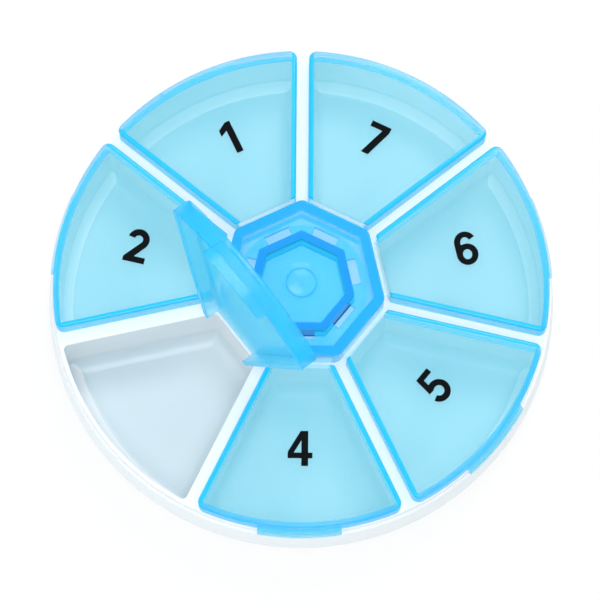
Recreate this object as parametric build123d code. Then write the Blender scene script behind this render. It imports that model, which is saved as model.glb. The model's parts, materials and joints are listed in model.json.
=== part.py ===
from build123d import *
from math import asin, atan2, cos, degrees, pi, radians, sin, sqrt, tan
import os

# Round weekly pill box: a white tray of seven compartments under one translucent lid set.
# The lid set is a seven-sided hub, seven lids and the thin films that bend as their hinges.
# Millimetres, +Z up, origin at the middle of the underside. One lid stands open at rest.

# Layout round the axis
DAYS = 7
SHARE = 360 / DAYS  # the angle that each day takes
HALF = radians(SHARE / 2)
TOP_CORNER = 90.0  # direction of the hub corner between the first and the last lid
OPEN_LID = 3  # counted from that corner, anticlockwise
OPEN_ANGLE = 98.0

# Tray
TRAY_HEIGHT = 14.0
DECK_RADIUS = 45.3  # outer edge of the flat deck that the lids stand on
DECK_ROUND = 0.25
RIM_HEIGHT = 2.0  # upright rim that the lids' tabs hang beside
RIM_LEDGE = 0.5  # width of the ledge at the rim's foot
WALL_FLARE = 2.0  # the wall leans out this much from the ledge to the ground
FOOT_ROUND = 7.0
RING_WIDTH = 0.75  # deck outside the compartments
RIB_WIDTH = 2.7  # deck between two compartments
LEDGE_WIDTH = 1.05  # deck between the hub and a compartment
POCKET_FLOOR = 1.2
POCKET_DRAFT = 1.0  # degrees
POCKET_CORNER = 0.9
POCKET_SCOOP = 2.6  # round where the walls meet the floor
MOUTH_ROUND = 0.2
FOOT_RING = 2.2  # width of the ring that the tray stands on
FOOT_RECESS = 0.6
SOCKET_WALL = 1.2  # round the hollow under the hub
SOCKET_TOP = 1.6  # deck over that hollow
GROOVE_WALL = 1.2  # walls and floor of the groove that the hub's tube sits in

# Hub
HUB_APOTHEM = 14.0  # from the axis to the middle of a side
HUB_HEIGHT = 5.0  # above the deck
HUB_SEAT = 0.08  # clearance under the hub
HUB_CORNER = 1.8
HUB_WALL = 1.9
HUB_TOP_ROUND = 0.25
HUB_PLATE = 1.2
WELL_DEPTH = 1.0  # the plate lies this far under the rim
PLUG_APOTHEM = 8.9  # seven-sided tube under the plate
PLUG_WALL = 1.4
WINDOW_LENGTH = 4.9
WINDOW_WIDTH = 1.7
PLUG_LENGTH = 4.6  # below the deck
PLUG_CLEARANCE = 0.15
HOOK_INSET = 0.3  # the hook is this much shorter than its window at each end
HOOK_REACH = 0.7
HOOK_HEIGHT = 1.8
HOOK_CLEARANCE = 0.1
DIMPLE_RADIUS = 2.7
DIMPLE_EDGE = 0.35  # depth of the round hollow at that radius
DIMPLE_DEPTH = 0.35  # from there to its middle
GATE_RADIUS = 0.5
GATE_HEIGHT = 0.2
GATE_ROOT = 0.3  # how far the gate mark is sunk into the dimple's floor

# Lids
LID_SETBACK = 0.2  # inside the deck's outer edge
LID_BEARING = 0.25  # how far a skirt stands on a rib
LID_RISE = 3.5  # top of a lid above the deck
LID_SEAT = 0.12  # clearance under the skirt
LID_PLATE = 1.0
LID_SKIRT = 0.95
LID_CORNER = 1.5
LID_INNER_CORNER = 0.5
LID_INSIDE_CORNER = 0.55
LID_TOP_ROUND = 0.55
TAB_WIDTH = 15.2
TAB_THICKNESS = 0.5
TAB_CLEARANCE = 0.12
TAB_CORNER = 0.6
TAB_SHOULDER = 0.9  # the tab starts to swell this far under the lid's top

# Hinge films
FILM_LENGTH = 1.2
FILM_THICKNESS = 0.35
FILM_SET = 0.1  # below the lid's top
FILM_MARGIN = 0.3  # kept free at each end of the hub's flat side

# Worked out from the sizes above
LEDGE_HEIGHT = TRAY_HEIGHT - RIM_HEIGHT
LEDGE_RADIUS = DECK_RADIUS + RIM_LEDGE
FOOT_RADIUS = LEDGE_RADIUS + WALL_FLARE  # where the wall would meet the ground without its round
FOOT_CORNER = pi / 2 - atan2(WALL_FLARE, LEDGE_HEIGHT)
FOOT_FLAT = FOOT_RADIUS - FOOT_ROUND / tan(FOOT_CORNER / 2)
POCKET_BOTTOM = FOOT_RECESS + POCKET_FLOOR
POCKET_APOTHEM = HUB_APOTHEM + LEDGE_WIDTH
GROOVE_BOTTOM = TRAY_HEIGHT - PLUG_LENGTH - PLUG_CLEARANCE
HOOK_TOP = TRAY_HEIGHT - SOCKET_TOP - HOOK_CLEARANCE
HUB_TOP = TRAY_HEIGHT + HUB_HEIGHT
PLATE_TOP = HUB_TOP - WELL_DEPTH
LID_TOP = TRAY_HEIGHT + LID_RISE
LID_BOTTOM = TRAY_HEIGHT + LID_SEAT
LID_APOTHEM = HUB_APOTHEM + FILM_LENGTH
LID_RADIUS = DECK_RADIUS - LID_SETBACK
LID_GAP = RIB_WIDTH - 2 * LID_BEARING  # between two neighbours
HINGE_X = HUB_APOTHEM + FILM_LENGTH / 2
HINGE_Z = LID_TOP - FILM_SET - FILM_THICKNESS / 2
FILM_HALF = (HUB_APOTHEM - HUB_CORNER) * tan(HALF) - FILM_MARGIN


def day_angle(day):
    """Direction of a day's middle line, counted from 1."""
    return TOP_CORNER + SHARE * (day - 0.5)


def round_the_axis(shape):
    """Copies of a shape that points along +X, one for each day."""
    return [Rot(0, 0, day_angle(day)) * shape for day in range(1, DAYS + 1)]


def sector(gap, radius, apothem, outer_round, inner_round=0):
    """Pie slice along +X, half a gap inside its share and cut straight across at its inner end."""
    along = sqrt(radius**2 - (gap / 2) ** 2)
    tip_x = along * cos(HALF) + gap / 2 * sin(HALF)
    tip_y = along * sin(HALF) - gap / 2 * cos(HALF)
    root_y = apothem * tan(HALF) - gap / 2 / cos(HALF)
    outline = make_face(
        [
            Line((apothem, -root_y), (tip_x, -tip_y)),
            ThreePointArc((tip_x, -tip_y), (radius, 0), (tip_x, tip_y)),
            Line((tip_x, tip_y), (apothem, root_y)),
            Line((apothem, root_y), (apothem, -root_y)),
        ]
    )
    outline = fillet(outline.vertices().sort_by(Axis.X)[-2:], outer_round)
    if inner_round:
        outline = fillet(outline.vertices().sort_by(Axis.X)[:2], inner_round)
    return outline


def heptagon(apothem, corner=0):
    """Seven-sided outline with one corner towards the first and last day's shared line."""
    outline = RegularPolygon(apothem, DAYS, major_radius=False, rotation=TOP_CORNER)
    return fillet(outline.vertices(), corner) if corner else outline


def prism(outline, bottom, top):
    """Upright solid of an outline between two heights."""
    return extrude(Pos(0, 0, bottom) * outline, top - bottom)


def make_pocket():
    """Hollow of one compartment, drafted towards its floor and scooped round its edges."""
    mouth = sector(RIB_WIDTH, DECK_RADIUS - RING_WIDTH, POCKET_APOTHEM, POCKET_CORNER, POCKET_CORNER)
    hollow = extrude(Pos(0, 0, TRAY_HEIGHT) * mouth, -(TRAY_HEIGHT - POCKET_BOTTOM), taper=POCKET_DRAFT)
    floor_edges = hollow.faces().sort_by(Axis.Z)[0].edges()
    return fillet(floor_edges, POCKET_SCOOP)


def make_body():
    """Round body of the tray: a flared wall on a well rounded foot, and a rim set in above its ledge."""
    half = Polyline(
        (0, 0),
        (FOOT_RADIUS, 0),
        (LEDGE_RADIUS, LEDGE_HEIGHT),
        (DECK_RADIUS, LEDGE_HEIGHT),
        (DECK_RADIUS, TRAY_HEIGHT),
        (0, TRAY_HEIGHT),
        close=True,
    )
    outline = make_face(half)
    outline = fillet(outline.vertices().sort_by(Axis.X)[-1], FOOT_ROUND)
    ledge_edge = outline.vertices().group_by(Axis.Y)[-2].sort_by(Axis.X)[-1]
    deck_edge = outline.vertices().group_by(Axis.Y)[-1].sort_by(Axis.X)[-1]
    outline = fillet([ledge_edge, deck_edge], DECK_ROUND)
    return revolve(Plane.XZ * outline, Axis.Z)


def make_groove():
    """Seven-sided groove in the deck for the hub's tube, with a catch for each hook in its outer wall."""
    inner = PLUG_APOTHEM - PLUG_WALL - PLUG_CLEARANCE
    outer = PLUG_APOTHEM + PLUG_CLEARANCE
    groove = prism(heptagon(outer) - heptagon(inner), GROOVE_BOTTOM, TRAY_HEIGHT)
    catch = Pos(outer + GROOVE_WALL / 2, 0) * Rectangle(GROOVE_WALL, WINDOW_LENGTH)
    low = HOOK_TOP - HOOK_HEIGHT - HOOK_CLEARANCE
    return groove + round_the_axis(prism(catch, low, HOOK_TOP + HOOK_CLEARANCE))


def make_socket():
    """Hollow under the deck, with the groove's trough left standing in it."""
    hollow = prism(heptagon(POCKET_APOTHEM - SOCKET_WALL), 0, TRAY_HEIGHT - SOCKET_TOP)
    inner = heptagon(PLUG_APOTHEM - PLUG_WALL - PLUG_CLEARANCE - GROOVE_WALL)
    outer = heptagon(PLUG_APOTHEM + PLUG_CLEARANCE + GROOVE_WALL)
    return hollow - prism(outer - inner, GROOVE_BOTTOM - GROOVE_WALL, TRAY_HEIGHT)


def make_tray():
    """Round tray with its compartments, the hub's groove and the hollows of its underside."""
    tray = make_body() - round_the_axis(make_pocket())
    deck = tray.faces().filter_by(Axis.Z).sort_by(Axis.Z)[-1]
    tray = fillet([edge for wire in deck.inner_wires() for edge in wire.edges()], MOUTH_ROUND)
    tray -= prism(Circle(FOOT_FLAT - FOOT_RING), 0, FOOT_RECESS)
    return tray - make_socket() - make_groove()


def make_hook():
    """Wedge along +X on the hub's tube that snaps under the deck."""
    root = PLUG_APOTHEM - PLUG_WALL / 2
    side = Polyline(
        (root, HOOK_TOP),
        (PLUG_APOTHEM + HOOK_REACH, HOOK_TOP),
        (PLUG_APOTHEM, HOOK_TOP - HOOK_HEIGHT),
        (root, HOOK_TOP - HOOK_HEIGHT),
        close=True,
    )
    return extrude(Plane.XZ * make_face(side), WINDOW_LENGTH / 2 - HOOK_INSET, both=True)


def make_hub():
    """Seven-sided cap with a shallow well, a window over each hook and a tube that clips into the tray."""
    seat = TRAY_HEIGHT + HUB_SEAT
    hub = prism(heptagon(HUB_APOTHEM, HUB_CORNER), seat, HUB_TOP)
    hub = fillet(hub.faces().sort_by(Axis.Z)[-1].edges(), HUB_TOP_ROUND)
    inside = heptagon(HUB_APOTHEM - HUB_WALL)
    hub -= prism(inside, PLATE_TOP, HUB_TOP)
    hub -= prism(inside, seat, PLATE_TOP - HUB_PLATE)
    tube = heptagon(PLUG_APOTHEM) - heptagon(PLUG_APOTHEM - PLUG_WALL)
    hub += prism(tube, TRAY_HEIGHT - PLUG_LENGTH, PLATE_TOP - HUB_PLATE)
    hub += round_the_axis(make_hook())
    window = Pos(PLUG_APOTHEM + WINDOW_WIDTH / 2, 0) * Rectangle(WINDOW_WIDTH, WINDOW_LENGTH)
    hub -= round_the_axis(prism(window, PLATE_TOP - HUB_PLATE, PLATE_TOP))
    ball = (DIMPLE_RADIUS**2 + DIMPLE_DEPTH**2) / (2 * DIMPLE_DEPTH)
    dimple_floor = PLATE_TOP - DIMPLE_EDGE - DIMPLE_DEPTH
    hub -= Pos(0, 0, dimple_floor + ball) * Sphere(ball)
    hub += prism(Circle(GATE_RADIUS), dimple_floor - GATE_ROOT, dimple_floor + GATE_HEIGHT)
    return hub


def make_tab():
    """Thumb tab that swells out of the lid's outer skirt and hangs beside the tray's rim."""
    foot = LEDGE_HEIGHT + LID_SEAT
    inner = DECK_RADIUS + TAB_CLEARANCE
    outer = inner + TAB_THICKNESS
    root = LID_RADIUS - LID_SKIRT / 2
    side = Polyline(
        (root, LID_BOTTOM),
        (inner, LID_BOTTOM),
        (inner, foot),
        (outer, foot),
        (outer, TRAY_HEIGHT),
        (LID_RADIUS, LID_TOP - TAB_SHOULDER),
        (root, LID_TOP - TAB_SHOULDER),
        close=True,
    )
    sweep = 2 * degrees(asin(TAB_WIDTH / 2 / outer))
    tab = revolve(Rot(0, 0, -sweep / 2) * (Plane.XZ * make_face(side)), Axis.Z, sweep)
    low_ends = tab.edges().filter_by(GeomType.LINE).group_by(Axis.Z)[0]
    return fillet(low_ends, TAB_CORNER)


def make_lid():
    """Shut lid along +X: a plate with a skirt on three sides, open towards the hub, and its tab."""
    outline = sector(LID_GAP, LID_RADIUS, LID_APOTHEM, LID_CORNER, LID_INNER_CORNER)
    lid = prism(outline, LID_BOTTOM, LID_TOP)
    top_edges = lid.faces().sort_by(Axis.Z)[-1].edges().sort_by(Axis.X)
    lid = fillet(top_edges[1:], LID_TOP_ROUND)
    inside = sector(LID_GAP + 2 * LID_SKIRT, LID_RADIUS - LID_SKIRT, HUB_APOTHEM, LID_INSIDE_CORNER)
    lid -= prism(inside, LID_BOTTOM, LID_TOP - LID_PLATE)
    return lid + make_tab()


def make_film(angle=0):
    """Hinge film from the hub's side to the lid's end, flat or bent up by an angle."""
    if not angle:
        strip = Pos(HINGE_X, 0, HINGE_Z) * Box(FILM_LENGTH, 2 * FILM_HALF, FILM_THICKNESS)
        return strip
    bend = FILM_LENGTH / 2 / tan(radians(angle) / 2)
    middle = (HUB_APOTHEM, HINGE_Z + bend)
    arcs = [CenterArc(middle, bend + side * FILM_THICKNESS / 2, -90, angle) for side in (-1, 1)]
    ends = [Line(arcs[0] @ at, arcs[1] @ at) for at in (0, 1)]
    return extrude(Plane.XZ * make_face(arcs + ends), FILM_HALF, both=True)


def swing_open(shape):
    """A shut lid turned up about its hinge line to the open pose."""
    return shape.rotate(Axis((HINGE_X, 0, HINGE_Z), (0, -1, 0)), OPEN_ANGLE)


def make_parts():
    """Every piece in its place, by name."""
    parts = {"tray": make_tray(), "hub": make_hub()}
    shut_lid = make_lid()
    for day in range(1, DAYS + 1):
        stands_open = day == OPEN_LID
        turn = Rot(0, 0, day_angle(day))
        parts[f"lid_{day}"] = turn * (swing_open(shut_lid) if stands_open else shut_lid)
        parts[f"hinge_film_{day}"] = turn * make_film(OPEN_ANGLE if stands_open else 0)
    return parts


os.makedirs("parts", exist_ok=True)
for name, shape in make_parts().items():
    export_step(shape, f"parts/{name}.step")
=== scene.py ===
import json
import math

import bpy
from mathutils import Matrix, Vector


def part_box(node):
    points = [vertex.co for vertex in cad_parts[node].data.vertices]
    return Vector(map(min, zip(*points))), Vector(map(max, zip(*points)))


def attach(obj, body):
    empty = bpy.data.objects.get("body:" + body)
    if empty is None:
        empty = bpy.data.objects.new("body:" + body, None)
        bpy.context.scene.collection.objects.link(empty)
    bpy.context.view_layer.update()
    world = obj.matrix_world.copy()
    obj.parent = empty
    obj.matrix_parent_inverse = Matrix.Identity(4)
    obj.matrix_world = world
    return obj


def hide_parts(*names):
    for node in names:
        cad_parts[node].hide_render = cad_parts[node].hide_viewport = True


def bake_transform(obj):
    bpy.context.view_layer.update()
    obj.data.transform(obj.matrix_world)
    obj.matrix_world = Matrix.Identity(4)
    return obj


MM = 0.001
UP = Vector((0, 0, 1))
CORNERS = ((-1, -1), (1, -1), (1, 1), (-1, 1))  # of an oblong, round it
DAYS = 7
SHARE = 2 * math.pi / DAYS  # one day's share of the circle
FIRST_CORNER = math.radians(90)  # direction of the rib between the last day and the first
OPEN_LID = 3

# Camera, fitted to the photograph
FRAME_PIXELS = 600
SENSOR_WIDTH = 36.0
FOCAL_PIXELS = 2736.3
LOOK_AT = Vector((0, 0, 10 * MM))
CAMERA_DISTANCE = 503.07 * MM
CAMERA_ELEVATION = math.radians(74)
CAMERA_ROLL = math.radians(0.45)
CAMERA_SLIDE_RIGHT = -0.23 * MM
CAMERA_SLIDE_UP = -1.01 * MM

# Numbers printed on the lids, turned to be read by so many degrees anticlockwise
NUMERAL_HEIGHT = 6.4 * MM
NUMERAL_RADIUS = 30.7 * MM  # from the axis to the middle of a number
PRINT_THICKNESS = 0.02 * MM
PRINT_LIFT = 0.004 * MM
READING_ANGLES = {1: 25.7, 2: -12.9, 3: -51.4, 4: 0.0, 5: 51.4, 6: 12.9, 7: -25.7}

# Hinge films
FILM_GAP = 0.03 * MM  # kept free at the hub and at the lid
FILM_STEPS = 10

# Lip round the hub's dimple
DIMPLE_RADIUS = 2.7 * MM
DIMPLE_EDGE = 0.35 * MM  # depth of the round hollow at that radius
LIP_WIDTH = 0.22 * MM
LIP_RISE = 0.04 * MM  # above the hub's plate
LIP_SIDES = 96
WELL_DEPTH = 1.0 * MM

# Where the blue plastic is thick, seen from above
LID_RADIUS = 45.1 * MM
LID_GAP = 2.2 * MM  # between two neighbours
LID_SKIRT = 0.95 * MM
LID_FOOT = 14.12 * MM  # where a shut lid's skirts end
FOOT_SHARE = 0.5  # of an edge's colour, along the feet of the skirts
HUB_WALL_INSIDE = 12.1 * MM  # from the axis to the middle of a side
TUBE_INSIDE = 7.5 * MM
TUBE_OUTSIDE = 8.9 * MM
EDGE_BLUR = 0.06 * MM
EDGE_DEPTH = 0.3 * MM  # a face counts as an edge for this far up or down

# Where the compartments are painted with shade
FLOOR_LEVEL = 2.4 * MM  # the compartments' painted shade is full below this
WALL_LEVEL = 5.6 * MM  # and as white as the deck above this
WALL_MIDDLE = 44.8 * MM  # radius between the inside and the outside of the tray's wall
WALL_LEAN_TOP = 4.2 * MM  # below this the wall's middle runs in towards the foot

# Plastics and ink, as linear colours
WHITE = (0.9, 0.907, 0.912, 1)
PAINTED_SHADE_WHITE = (0.62, 0.72, 0.76, 1)  # painted shade: the compartments' lower walls and floors, darker and bluer
BLUE_LIT_WHITE = (0.45, 0.84, 0.95, 1)  # the deck under the hub, where light comes through the blue
INK = (0.004, 0.005, 0.006, 1)
LID_BLUE = (0.16, 0.775, 0.94, 1)
LID_RIM_BLUE = (0.004, 0.59, 0.98, 1)
LID_TAB_BLUE = (0.005, 0.7, 0.97, 1)
LID_EDGE_BLUE = (0.003, 0.53, 0.95, 1)
OPEN_LID_BLUE = (0.11, 0.73, 0.945, 1)  # the open lid is seen through more of its plastic
OPEN_LID_RIM_BLUE = (0.004, 0.52, 0.97, 1)
HUB_BLUE = (0.006, 0.61, 0.94, 1)
HUB_WALL_BLUE = (0.002, 0.4, 0.97, 1)
HUB_TUBE_BLUE = (0.002, 0.32, 0.97, 1)
FILM_BLUE = (0.6, 0.93, 1.0, 1)

# How much of what lies behind it one face of the clear plastic covers, square on or at a slant
LID_COVER = 0.26
LID_SLANT_COVER = 0.34
LID_EDGE_COVER = 0.95
LID_RIM_COVER = 0.48
LID_TAB_COVER = 0.4
OPEN_LID_COVER = 0.28
OPEN_LID_SLANT_COVER = 0.75
HUB_COVER = 0.4
HUB_SLANT_COVER = 0.6
HUB_EDGE_COVER = 0.96
FILM_COVER = 0.25
LIP_COVER = 0.5
LIGHT_PASS = 0.65  # share of the lamps' light stopped by a cover which still goes through

# Deep places of a lid, each with its colour and cover
LID_ZONES = {
    "Rim": (LID_RIM_BLUE, LID_RIM_COVER),
    "Tab": (LID_TAB_BLUE, LID_TAB_COVER),
    "Edge": (LID_EDGE_BLUE, LID_EDGE_COVER),
}
OPEN_LID_ZONES = LID_ZONES | {
    "Rim": (OPEN_LID_RIM_BLUE, LID_RIM_COVER),
    "Tab": (OPEN_LID_RIM_BLUE, LID_TAB_COVER),
}

# Surfaces: the least and greatest roughness, and the height of the grain
BLUE_FINISH = (0.06, 0.18, 0.004 * MM)
WHITE_FINISH = (0.28, 0.44, 0.008 * MM)
INK_FINISH = (0.45, 0.65, 0.003 * MM)
BLUE_GLOSS = 0.3
INK_GLOSS = 0.03
BUMP_STRENGTH = 0.3
FLOW_NOISE = {"Scale": 45, "Detail": 2}
GRAIN_NOISE = {"Scale": 900, "Detail": 3}
GRAIN_IN_POLISH = 0.35  # the rest of the polish follows the flow marks
DARK_FLOW = (0.97, 0.97, 0.97, 1)  # the darkest flow marks, against the colours above
LIGHT_FLOW = (1, 1, 1, 1)

# Studio: surround, floor and lamps, whose directions are in degrees
SURROUND = ((0.1, (0.70, 0.82, 0.88, 1)), (0.9, (0.33, 0.38, 0.41, 1)))  # near the horizon, and overhead
PAPER_WHITE = (1, 1, 1, 1)
FLOOR_PALE = (0.9, 0.9, 0.9, 1)
FLOOR_REACH = 3.0
FLOOR_GLOW = 0.85  # share of the floor's white that takes no shadow
LAMPS = {
    "lamp_main": {"azimuth": 0, "elevation": 74, "watts": 4.3, "width": 0.6, "distance": 1.0},
    "lamp_far_right": {"azimuth": 160, "elevation": 58, "watts": 3.1, "width": 0.4, "distance": 1.0},
    "lamp_left": {"azimuth": -70, "elevation": 35, "watts": 0.7, "width": 0.6, "distance": 0.8},
}


def outward_of(day):
    """Direction from the axis along a day's middle line."""
    angle = FIRST_CORNER + SHARE * (day - 0.5)
    return Vector((math.cos(angle), math.sin(angle), 0))


def joint_of(day):
    """The record's hinge of a day's lid."""
    joints = frame["record"]["behaviour"]["joints"]
    return next(joint for joint in joints if joint["child"] == f"lid_{day}")


def rest_angle(day):
    """Angle by which a day's lid stands open at rest, in radians."""
    return -math.radians(min(joint_of(day)["range_deg"])) if day == OPEN_LID else 0.0


def hinge_turn(day):
    """Turn about its hinge that takes a shut lid to where it stands at rest."""
    joint = joint_of(day)
    place = Matrix.Translation(Vector(joint["pos_m"]))
    return place @ Matrix.Rotation(rest_angle(day), 4, Vector(joint["axis"])) @ place.inverted()


def new_material(name):
    """Empty node material with its output."""
    material = bpy.data.materials.new(name)
    material.use_nodes = True
    tree = material.node_tree
    tree.nodes.clear()
    output = tree.nodes.new("ShaderNodeOutputMaterial")
    return material, tree, output


def new_group(name, outputs):
    """Node group that reads a place and gives out values."""
    group = bpy.data.node_groups.new(name, "ShaderNodeTree")
    group.interface.new_socket("Place", in_out="INPUT", socket_type="NodeSocketVector")
    for socket in outputs:
        group.interface.new_socket(socket, in_out="OUTPUT", socket_type="NodeSocketFloat")
    place = group.nodes.new("NodeGroupInput").outputs["Place"]
    return group, place, group.nodes.new("NodeGroupOutput")


def use_group(tree, group, place):
    """Group node fed with a place."""
    node = tree.nodes.new("ShaderNodeGroup")
    node.node_tree = group
    tree.links.new(place, node.inputs["Place"])
    return node


def object_place(tree):
    """Place on the object, in metres."""
    return tree.nodes.new("ShaderNodeTexCoord").outputs["Object"]


def feed(tree, socket, value):
    """Sets a socket to a number or a colour, or links another socket to it."""
    if isinstance(value, (int, float, tuple)):
        socket.default_value = value
    else:
        tree.links.new(value, socket)


def calc(tree, operation, *values):
    """Math node on sockets or numbers."""
    node = tree.nodes.new("ShaderNodeMath")
    node.operation = operation
    for socket, value in zip(node.inputs, values):
        feed(tree, socket, value)
    return node.outputs[0]


def blend_values(tree, share, first, second):
    """Mix of two values by a share."""
    node = tree.nodes.new("ShaderNodeMix")
    for k, value in ((0, share), (2, first), (3, second)):
        feed(tree, node.inputs[k], value)
    return node.outputs[0]


def colour_mix(tree, share, first, second, blend="MIX"):
    """Mix of two colours by a share."""
    node = tree.nodes.new("ShaderNodeMix")
    node.data_type = "RGBA"
    node.blend_type = blend
    for k, value in ((0, share), (6, first), (7, second)):
        feed(tree, node.inputs[k], value)
    return node.outputs[2]


def remap(tree, value, low, high, to_low=0, to_high=1, kind="LINEAR"):
    """Value taken from one range to another."""
    node = tree.nodes.new("ShaderNodeMapRange")
    node.interpolation_type = kind
    ends = {"From Min": low, "From Max": high, "To Min": to_low, "To Max": to_high}
    for name, end in ends.items():
        node.inputs[name].default_value = end
    tree.links.new(value, node.inputs["Value"])
    return node.outputs["Result"]


def step_up(tree, value, at):
    """0 below a distance and 1 above it, with a soft edge."""
    return remap(tree, value, at - EDGE_BLUR, at + EDGE_BLUR, kind="SMOOTHSTEP")


def slant(tree, square_on, flat_on):
    """Coverage of a clear face, which grows as it is seen at a flatter angle."""
    facing = tree.nodes.new("ShaderNodeLayerWeight").outputs["Facing"]
    return remap(tree, facing, 0, 1, square_on, flat_on)


def split(tree, vector):
    """The three measures of a vector."""
    parts = tree.nodes.new("ShaderNodeSeparateXYZ")
    tree.links.new(vector, parts.inputs["Vector"])
    return [parts.outputs[axis] for axis in "XYZ"]


def from_axis(tree, x, y):
    """Distance from the box's upright axis."""
    squares = calc(tree, "ADD", calc(tree, "MULTIPLY", x, x), calc(tree, "MULTIPLY", y, y))
    return calc(tree, "SQRT", squares)


def fold(tree, place):
    """Radius, and distances along and across the nearest day's middle line, of a place seen from above."""
    x, y = split(tree, place)[:2]
    radius = from_axis(tree, x, y)
    from_corner = calc(tree, "SUBTRACT", calc(tree, "ARCTAN2", y, x), FIRST_CORNER)
    angle = calc(tree, "SUBTRACT", calc(tree, "FLOORED_MODULO", from_corner, SHARE), SHARE / 2)
    along = calc(tree, "MULTIPLY", radius, calc(tree, "COSINE", angle))
    across = calc(tree, "MULTIPLY", radius, calc(tree, "ABSOLUTE", calc(tree, "SINE", angle)))
    return radius, along, across


def above(tree, place, height):
    """1 above a height and 0 below it."""
    return step_up(tree, split(tree, place)[2], height)


def make_moulded_surface():
    """Node group for moulded plastic: slow flow marks, a fine grain, and a polish that follows both."""
    group, place, out = new_group("moulded_surface", ["Tone", "Polish", "Height"])

    def noise(settings):
        node = group.nodes.new("ShaderNodeTexNoise")
        for name, value in settings.items():
            node.inputs[name].default_value = value
        group.links.new(place, node.inputs["Vector"])
        return node.outputs["Fac"]

    flow = noise(FLOW_NOISE)
    grain = noise(GRAIN_NOISE)
    group.links.new(flow, out.inputs["Tone"])
    group.links.new(blend_values(group, GRAIN_IN_POLISH, flow, grain), out.inputs["Polish"])
    group.links.new(grain, out.inputs["Height"])
    return group


def make_lid_depth():
    """Node group: whether a place is on a lid's side skirts or their feet, its outer skirt, or its tab."""
    group, place, out = new_group("lid_depth", ["Edge", "Rim", "Tab"])
    radius, along, across = fold(group, place)
    on_tab = step_up(group, radius, LID_RADIUS + 2 * EDGE_BLUR)
    group.links.new(on_tab, out.inputs["Tab"])
    from_rim = calc(group, "SUBTRACT", LID_RADIUS, radius)
    inside_rim = step_up(group, from_rim, LID_SKIRT + 2 * EDGE_BLUR)
    group.links.new(calc(group, "SUBTRACT", 1, inside_rim), out.inputs["Rim"])
    sine = calc(group, "MULTIPLY", along, math.sin(SHARE / 2))
    cosine = calc(group, "MULTIPLY", across, math.cos(SHARE / 2))
    from_side = calc(group, "SUBTRACT", calc(group, "SUBTRACT", sine, cosine), LID_GAP / 2)
    over_skirt = calc(group, "SUBTRACT", 1, step_up(group, from_side, LID_SKIRT))
    on_top = above(group, place, lid_top - EDGE_DEPTH)
    side = calc(group, "MULTIPLY", on_top, over_skirt)
    on_foot = calc(group, "SUBTRACT", 1, above(group, place, LID_FOOT + EDGE_DEPTH))
    foot = calc(group, "MULTIPLY", on_foot, calc(group, "SUBTRACT", FOOT_SHARE, on_tab))
    group.links.new(calc(group, "MAXIMUM", side, foot), out.inputs["Edge"])
    return group


def make_hub_depth():
    """Node group: where the hub's top has its outer wall under it, and where its plate has the tube."""
    group, place, out = new_group("hub_depth", ["Wall", "Tube"])
    along = fold(group, place)[1]
    on_top = above(group, place, hub_top - EDGE_DEPTH)
    wall = calc(group, "MULTIPLY", step_up(group, along, HUB_WALL_INSIDE), on_top)
    group.links.new(wall, out.inputs["Wall"])
    inside = calc(group, "SUBTRACT", 1, step_up(group, along, TUBE_OUTSIDE))
    tube = calc(group, "MULTIPLY", step_up(group, along, TUBE_INSIDE), inside)
    group.links.new(tube, out.inputs["Tube"])
    return group


def make_tray_depth():
    """Node group: how deep a place lies in a compartment, 0 to 1, which sets the painted shade, and
    whether it is deck under the hub.
    """
    group, place, out = new_group("tray_depth", ["Depth", "Under hub"])
    x, y, z = split(group, place)
    radius = from_axis(group, x, y)
    lean = calc(group, "MINIMUM", 0, calc(group, "SUBTRACT", z, WALL_LEAN_TOP))
    inside = calc(group, "LESS_THAN", radius, calc(group, "ADD", WALL_MIDDLE, lean))
    # painted shade grows from none at WALL_LEVEL to full at FLOOR_LEVEL
    fall = remap(group, z, WALL_LEVEL, FLOOR_LEVEL, kind="SMOOTHSTEP")
    group.links.new(calc(group, "MULTIPLY", fall, inside), out.inputs["Depth"])
    near_axis = calc(group, "LESS_THAN", radius, HUB_WALL_INSIDE)
    on_deck = calc(group, "GREATER_THAN", z, WALL_LEVEL)
    group.links.new(calc(group, "MULTIPLY", near_axis, on_deck), out.inputs["Under hub"])
    return group


def moulded_shader(tree, colour, finish):
    """Principled shader of a colour, with the moulded surface's flow marks, polish and fine grain."""
    smoothest, roughest, grain_height = finish
    shader = tree.nodes.new("ShaderNodeBsdfPrincipled")
    surface = use_group(tree, moulded_surface, object_place(tree))
    flow = colour_mix(tree, surface.outputs["Tone"], DARK_FLOW, LIGHT_FLOW)
    tree.links.new(colour_mix(tree, 1.0, colour, flow, "MULTIPLY"), shader.inputs["Base Color"])
    polish = remap(tree, surface.outputs["Polish"], 0, 1, smoothest, roughest)
    tree.links.new(polish, shader.inputs["Roughness"])
    bump = tree.nodes.new("ShaderNodeBump")
    bump.inputs["Strength"].default_value = BUMP_STRENGTH
    bump.inputs["Distance"].default_value = grain_height
    tree.links.new(surface.outputs["Height"], bump.inputs["Height"])
    tree.links.new(bump.outputs["Normal"], shader.inputs["Normal"])
    return shader


def finish_blue(tree, output, colour, cover):
    """Clear plastic of a colour that covers part of what is behind it, and lets most light through."""
    shader = moulded_shader(tree, colour, BLUE_FINISH)
    shader.inputs["Specular IOR Level"].default_value = BLUE_GLOSS
    lamp_ray = tree.nodes.new("ShaderNodeLightPath").outputs["Is Shadow Ray"]
    shade = calc(tree, "SUBTRACT", 1, calc(tree, "MULTIPLY", lamp_ray, LIGHT_PASS))
    tree.links.new(calc(tree, "MULTIPLY", cover, shade), shader.inputs["Alpha"])
    tree.links.new(shader.outputs["BSDF"], output.inputs["Surface"])


def shut_place(tree):
    """Place on the open lid, turned back to where it is when the lid is shut."""
    joint = joint_of(OPEN_LID)
    turn = tree.nodes.new("ShaderNodeVectorRotate")
    turn.inputs["Center"].default_value = joint["pos_m"]
    turn.inputs["Axis"].default_value = joint["axis"]
    turn.inputs["Angle"].default_value = -rest_angle(OPEN_LID)
    tree.links.new(object_place(tree), turn.inputs["Vector"])
    return turn.outputs["Vector"]


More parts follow.
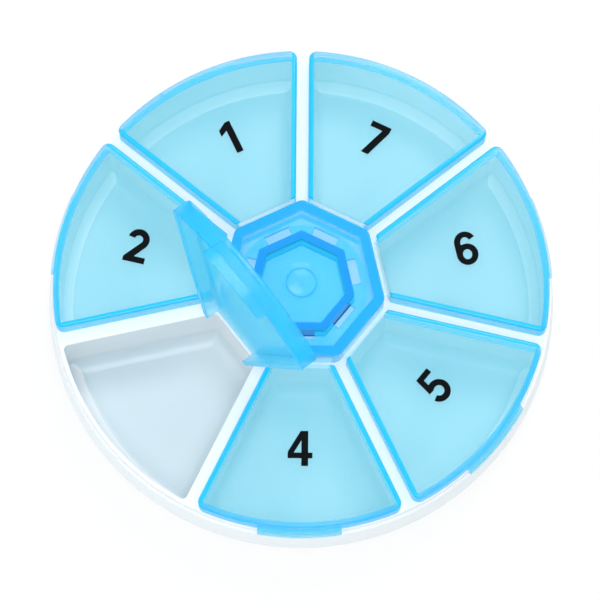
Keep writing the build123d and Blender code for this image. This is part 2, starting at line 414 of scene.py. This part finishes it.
def make_lid_plastic(name, plate_blue, plate_cover, slant_cover, zones, find_place):
    """Blue of a lid: pale over the plate, deep over the skirt."""
    material, tree, output = new_material(name)
    depth = use_group(tree, lid_depth, find_place(tree))
    colour, cover = plate_blue, slant(tree, plate_cover, slant_cover)
    for zone, (zone_blue, zone_cover) in zones.items():
        colour = colour_mix(tree, depth.outputs[zone], colour, zone_blue)
        cover = blend_values(tree, depth.outputs[zone], cover, zone_cover)
    finish_blue(tree, output, colour, cover)
    return material


def make_hub_plastic():
    """Blue of the hub: deep over its wall and over the tube under it."""
    material, tree, output = new_material("blue_hub_plastic")
    depth = use_group(tree, hub_depth, object_place(tree))
    wall, tube = depth.outputs["Wall"], depth.outputs["Tube"]
    colour = colour_mix(tree, wall, HUB_BLUE, HUB_WALL_BLUE)
    colour = colour_mix(tree, tube, colour, HUB_TUBE_BLUE)
    plate_cover = slant(tree, HUB_COVER, HUB_SLANT_COVER)
    cover = blend_values(tree, calc(tree, "MAXIMUM", wall, tube), plate_cover, HUB_EDGE_COVER)
    finish_blue(tree, output, colour, cover)
    return material


def make_thin_plastic(name, colour, cover):
    """One blue all over: nearly none in the thin films, deep in the dimple's lip."""
    material, tree, output = new_material(name)
    finish_blue(tree, output, colour, slant(tree, cover, max(cover, LID_SLANT_COVER)))
    return material


def make_white_plastic():
    """Satin white moulding, with painted shade, darker and bluer, deep in the compartments, and painted
    blue light on the deck under the hub.
    """
    material, tree, output = new_material("satin_white_moulding")
    depth = use_group(tree, tray_depth, object_place(tree))
    # painted shade, darker and bluer, deep in the compartments
    colour = colour_mix(tree, depth.outputs["Depth"], WHITE, PAINTED_SHADE_WHITE)
    colour = colour_mix(tree, depth.outputs["Under hub"], colour, BLUE_LIT_WHITE)
    shader = moulded_shader(tree, colour, WHITE_FINISH)
    tree.links.new(shader.outputs["BSDF"], output.inputs["Surface"])
    return material


def make_print_ink():
    """Black printing ink, slightly uneven in gloss."""
    material, tree, output = new_material("black_print")
    shader = moulded_shader(tree, INK, INK_FINISH)
    shader.inputs["Specular IOR Level"].default_value = INK_GLOSS
    tree.links.new(shader.outputs["BSDF"], output.inputs["Surface"])
    return material


def dress(node, material):
    """Gives a solid of the frame its finish."""
    slots = frame["nodes"][node].data.materials
    slots.clear()
    slots.append(material)


def add_piece(name, mesh, material):
    """Links a new mesh into the scene with its finish."""
    mesh.materials.clear()
    mesh.materials.append(material)
    piece = bpy.data.objects.new(name, mesh)
    bpy.context.scene.collection.objects.link(piece)
    return piece


def arc(middle_x, middle_y, radius_x, radius_y, start, end, steps=20):
    """Points of an elliptic arc between two angles in degrees."""
    points = []
    for k in range(steps + 1):
        angle = math.radians(start + (end - start) * k / steps)
        points.append((middle_x + radius_x * math.cos(angle), middle_y + radius_y * math.sin(angle)))
    return points


def numeral_outlines(day):
    """Outlines of a bold numeral one unit high: its edge, then its hole if it has one."""
    if day == 1:
        return [[(0.2, 0), (0.4, 0), (0.4, 1), (0.25, 1), (0, 0.83), (0, 0.64), (0.2, 0.75)]]
    if day == 2:
        bowl = arc(0.32, 0.69, 0.31, 0.31, 170, -40)
        foot = [(0.3, 0.18), (0.63, 0.18), (0.63, 0), (0, 0), (0, 0.13)]
        return [bowl + foot + arc(0.32, 0.69, 0.12, 0.12, -40, 170)]
    if day == 3:
        outside = arc(0.3, 0.72, 0.28, 0.28, 160, -40.9) + arc(0.3, 0.31, 0.31, 0.31, 46.9, -160)
        low_inside = arc(0.3, 0.31, 0.14, 0.14, -160, 90)
        return [outside + low_inside + [(0.2, 0.45), (0.2, 0.62)] + arc(0.3, 0.72, 0.1, 0.1, -90, 160)]
    if day == 4:
        edge = [(0.38, 0), (0.57, 0), (0.57, 0.22), (0.69, 0.22), (0.69, 0.38), (0.57, 0.38), (0.57, 1)]
        edge += [(0.36, 1), (0, 0.4), (0, 0.22), (0.38, 0.22)]
        return [edge, [(0.38, 0.38), (0.17, 0.38), (0.38, 0.73)]]
    if day == 5:
        flag = [(0.11, 1), (0.58, 1), (0.58, 0.83), (0.25, 0.83)]
        bowl = arc(0.3, 0.33, 0.33, 0.33, 102, -165) + arc(0.3, 0.33, 0.15, 0.15, -165, 130)
        return [flag + bowl + [(0.04, 0.46)]]
    if day == 6:
        outside = arc(0.33, 0.66, 0.32, 0.34, 25, 180) + arc(0.32, 0.32, 0.31, 0.32, 180, 472)
        return [outside + arc(0.33, 0.66, 0.14, 0.17, 180, 25), arc(0.32, 0.32, 0.13, 0.15, 0, 342, 19)]
    return [[(0.02, 1), (0.62, 1), (0.62, 0.84), (0.33, 0), (0.11, 0), (0.4, 0.82), (0.02, 0.82)]]


def numeral_mesh(day):
    """Flat-faced numeral with its middle at the origin, of the printed height."""
    curve = bpy.data.curves.new("numeral", "CURVE")
    curve.dimensions = "2D"
    curve.fill_mode = "BOTH"
    curve.extrude = 0.5
    outlines = numeral_outlines(day)
    for outline in outlines:
        spline = curve.splines.new("POLY")
        spline.points.add(len(outline) - 1)
        spline.use_cyclic_u = True
        for point, (x, y) in zip(spline.points, outline):
            point.co = (x, y, 0, 1)
    printed = bpy.data.objects.new("numeral", curve)
    bpy.context.scene.collection.objects.link(printed)
    mesh = bpy.data.meshes.new_from_object(printed.evaluated_get(bpy.context.evaluated_depsgraph_get()))
    bpy.data.objects.remove(printed)
    bpy.data.curves.remove(curve)
    across = [x for x, y in outlines[0]]
    middle = Vector(((min(across) + max(across)) / 2, 0.5, 0))
    size = Matrix.Diagonal((NUMERAL_HEIGHT, NUMERAL_HEIGHT, PRINT_THICKNESS, 1))
    mesh.transform(size @ Matrix.Translation(-middle))
    return mesh


def print_numeral(day):
    """Prints a day's number on its lid, so that it rides with the lid."""
    mesh = numeral_mesh(day)
    height = lid_top + PRINT_LIFT + PRINT_THICKNESS / 2
    middle = outward_of(day) * NUMERAL_RADIUS + UP * height
    reading = Matrix.Rotation(math.radians(READING_ANGLES[day]), 4, "Z")
    mesh.transform(hinge_turn(day) @ Matrix.Translation(middle) @ reading)
    piece = add_piece(f"numeral_{day}", mesh, ink)
    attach(piece, f"lid_{day}")


def section_mesh(name, sections, ring):
    """Mesh through four-cornered sections, joined into a ring or closed at both ends."""
    points = [corner for section in sections for corner in section]
    faces = []
    last = len(sections) - 1
    for k in range(len(sections) if ring else last):
        here, there = 4 * k, 4 * ((k + 1) % len(sections))
        for i in range(4):
            j = (i + 1) % 4
            faces.append((here + i, there + i, there + j, here + j))
    if not ring:
        end = 4 * last
        faces += [(0, 1, 2, 3), (end + 3, end + 2, end + 1, end)]
    mesh = bpy.data.meshes.new(name)
    mesh.from_pydata(points, [], faces)
    mesh.validate()
    return mesh


def make_lip(plastic):
    """Thin upright lip that rings the hub's dimple."""
    plate = hub_top - WELL_DEPTH
    low, high = plate - DIMPLE_EDGE, plate + LIP_RISE
    inner, outer = DIMPLE_RADIUS - LIP_WIDTH / 2, DIMPLE_RADIUS + LIP_WIDTH / 2
    corners = ((inner, low), (outer, low), (outer, high), (inner, high))
    sections = []
    for i in range(LIP_SIDES):
        angle = 2 * math.pi * i / LIP_SIDES
        sections.append([(radius * math.cos(angle), radius * math.sin(angle), z) for radius, z in corners])
    mesh = section_mesh("dimple_lip", sections, ring=True)
    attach(add_piece("dimple_lip", mesh, plastic), "base")


def film_middles(day, length):
    """Points along the middle of a film at rest, each with the direction that is up for the film there."""
    outward, turn = outward_of(day), rest_angle(day)
    root = Vector(joint_of(day)["pos_m"]) - outward * length / 2
    middles = []
    for k in range(FILM_STEPS + 1):
        t = k / FILM_STEPS
        if turn:
            bend = length / 2 / math.tan(turn / 2)
            margin = FILM_GAP / bend
            a = margin + (turn - 2 * margin) * t
            point = root + outward * bend * math.sin(a) + UP * bend * (1 - math.cos(a))
            middles.append((point, UP * math.cos(a) - outward * math.sin(a)))
        else:
            middles.append((root + outward * (FILM_GAP + (length - 2 * FILM_GAP) * t), UP))
    return middles


def make_film(day):
    """Hinge film that bends between the hub and its lid."""
    low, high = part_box("hinge_film_4")  # a flat one, square to the axes
    width, length, thickness = (high[i] - low[i] for i in range(3))
    middles = film_middles(day, length)
    side = UP.cross(outward_of(day)) * width / 2
    sections = []
    for point, film_up in middles:
        lift = film_up * thickness / 2
        sections.append([point + side * i + lift * j for i, j in CORNERS])
    mesh = section_mesh(f"bending_film_{day}", sections, ring=False)
    piece = add_piece(f"bending_film_{day}", mesh, film_blue)
    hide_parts(f"hinge_film_{day}")
    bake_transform(piece)


def make_camera():
    """Camera at the photograph's angle, nearly straight above."""
    back = Vector((0, -math.cos(CAMERA_ELEVATION), math.sin(CAMERA_ELEVATION)))
    right = Vector((1, 0, 0))
    up = back.cross(right)
    turned_right = right * math.cos(CAMERA_ROLL) + up * math.sin(CAMERA_ROLL)
    turned_up = up * math.cos(CAMERA_ROLL) - right * math.sin(CAMERA_ROLL)
    place = LOOK_AT + back * CAMERA_DISTANCE
    place += turned_right * CAMERA_SLIDE_RIGHT + turned_up * CAMERA_SLIDE_UP
    data = bpy.data.cameras.new("camera")
    data.sensor_width = SENSOR_WIDTH
    data.lens = FOCAL_PIXELS / FRAME_PIXELS * SENSOR_WIDTH
    data.clip_start = 10 * MM
    camera = bpy.data.objects.new("camera", data)
    axes = Matrix((turned_right, turned_up, back)).transposed().to_4x4()
    camera.matrix_world = Matrix.Translation(place) @ axes
    bpy.context.scene.collection.objects.link(camera)
    bpy.context.scene.camera = camera


def seen_rays(tree):
    """1 for the rays by which the camera sees a surface, directly, in gloss or through clear plastic."""
    path = tree.nodes.new("ShaderNodeLightPath")
    rays = calc(tree, "MAXIMUM", path.outputs["Is Camera Ray"], path.outputs["Is Glossy Ray"])
    return calc(tree, "MAXIMUM", rays, path.outputs["Is Transmission Ray"])


def make_floor():
    """Wide pale floor that stays white to the camera and keeps the shadow."""
    corners = [(i * FLOOR_REACH, j * FLOOR_REACH, 0) for i, j in CORNERS]
    mesh = bpy.data.meshes.new("floor")
    mesh.from_pydata(corners, [], [(0, 1, 2, 3)])
    material, tree, output = new_material("pale_floor")
    matte = tree.nodes.new("ShaderNodeBsdfDiffuse")
    matte.inputs["Color"].default_value = FLOOR_PALE
    glow = tree.nodes.new("ShaderNodeEmission")
    glow.inputs["Color"].default_value = PAPER_WHITE
    mix = tree.nodes.new("ShaderNodeMixShader")
    tree.links.new(calc(tree, "MULTIPLY", seen_rays(tree), FLOOR_GLOW), mix.inputs["Fac"])
    tree.links.new(matte.outputs["BSDF"], mix.inputs[1])
    tree.links.new(glow.outputs["Emission"], mix.inputs[2])
    tree.links.new(mix.outputs["Shader"], output.inputs["Surface"])
    add_piece("floor", mesh, material)


def make_world():
    """Soft studio surround, brightest near the horizon, that the camera sees as white."""
    world = bpy.data.worlds.new("studio")
    bpy.context.scene.world = world
    world.use_nodes = True
    tree = world.node_tree
    nodes, links = tree.nodes, tree.links
    nodes.clear()
    ramp = nodes.new("ShaderNodeValToRGB")
    links.new(split(tree, nodes.new("ShaderNodeTexCoord").outputs["Generated"])[2], ramp.inputs["Fac"])
    for element, (height, light) in zip(ramp.color_ramp.elements, SURROUND):
        element.position = height
        element.color = light
    background = nodes.new("ShaderNodeBackground")
    seen = colour_mix(tree, seen_rays(tree), ramp.outputs["Color"], PAPER_WHITE)
    links.new(seen, background.inputs["Color"])
    links.new(background.outputs["Background"], nodes.new("ShaderNodeOutputWorld").inputs["Surface"])


def make_lamp(name, azimuth, elevation, watts, width, distance):
    """Round softbox that points at the object."""
    data = bpy.data.lights.new(name, "AREA")
    data.shape = "DISK"
    data.size = width
    data.energy = watts
    lamp = bpy.data.objects.new(name, data)
    a, e = math.radians(azimuth), math.radians(elevation)
    back = Vector((math.sin(a) * math.cos(e), -math.cos(a) * math.cos(e), math.sin(e)))
    lamp.location = back * distance
    lamp.rotation_mode = "QUATERNION"
    lamp.rotation_quaternion = back.to_track_quat("Z", "Y")
    bpy.context.scene.collection.objects.link(lamp)


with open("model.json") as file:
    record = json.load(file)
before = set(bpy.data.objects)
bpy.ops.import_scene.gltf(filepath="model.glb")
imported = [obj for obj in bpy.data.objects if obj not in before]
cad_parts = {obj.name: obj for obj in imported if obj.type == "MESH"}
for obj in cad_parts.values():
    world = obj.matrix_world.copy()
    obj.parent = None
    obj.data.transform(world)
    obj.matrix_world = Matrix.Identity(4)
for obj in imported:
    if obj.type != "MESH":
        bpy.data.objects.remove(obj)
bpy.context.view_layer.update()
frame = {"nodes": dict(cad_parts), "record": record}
bpy.context.scene.view_settings.view_transform = "Standard"

hub_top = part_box("hub")[1][2]
lid_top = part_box("lid_4")[1][2]  # of a shut lid
moulded_surface = make_moulded_surface()
lid_depth = make_lid_depth()
hub_depth = make_hub_depth()
tray_depth = make_tray_depth()
lid_blue = make_lid_plastic(
    "blue_lid_plastic", LID_BLUE, LID_COVER, LID_SLANT_COVER, LID_ZONES, object_place)
open_lid_blue = make_lid_plastic(
    "blue_open_lid_plastic", OPEN_LID_BLUE, OPEN_LID_COVER, OPEN_LID_SLANT_COVER,
    OPEN_LID_ZONES, shut_place)
film_blue = make_thin_plastic("pale_blue_film", FILM_BLUE, FILM_COVER)
ink = make_print_ink()
dress("tray", make_white_plastic())
dress("hub", make_hub_plastic())
make_lip(make_thin_plastic("blue_lip_plastic", LID_EDGE_BLUE, LIP_COVER))
for day in range(1, DAYS + 1):
    dress(f"lid_{day}", open_lid_blue if day == OPEN_LID else lid_blue)
    make_film(day)
    print_numeral(day)

make_camera()
make_floor()
make_world()
for name, lamp in LAMPS.items():
    make_lamp(name, **lamp)
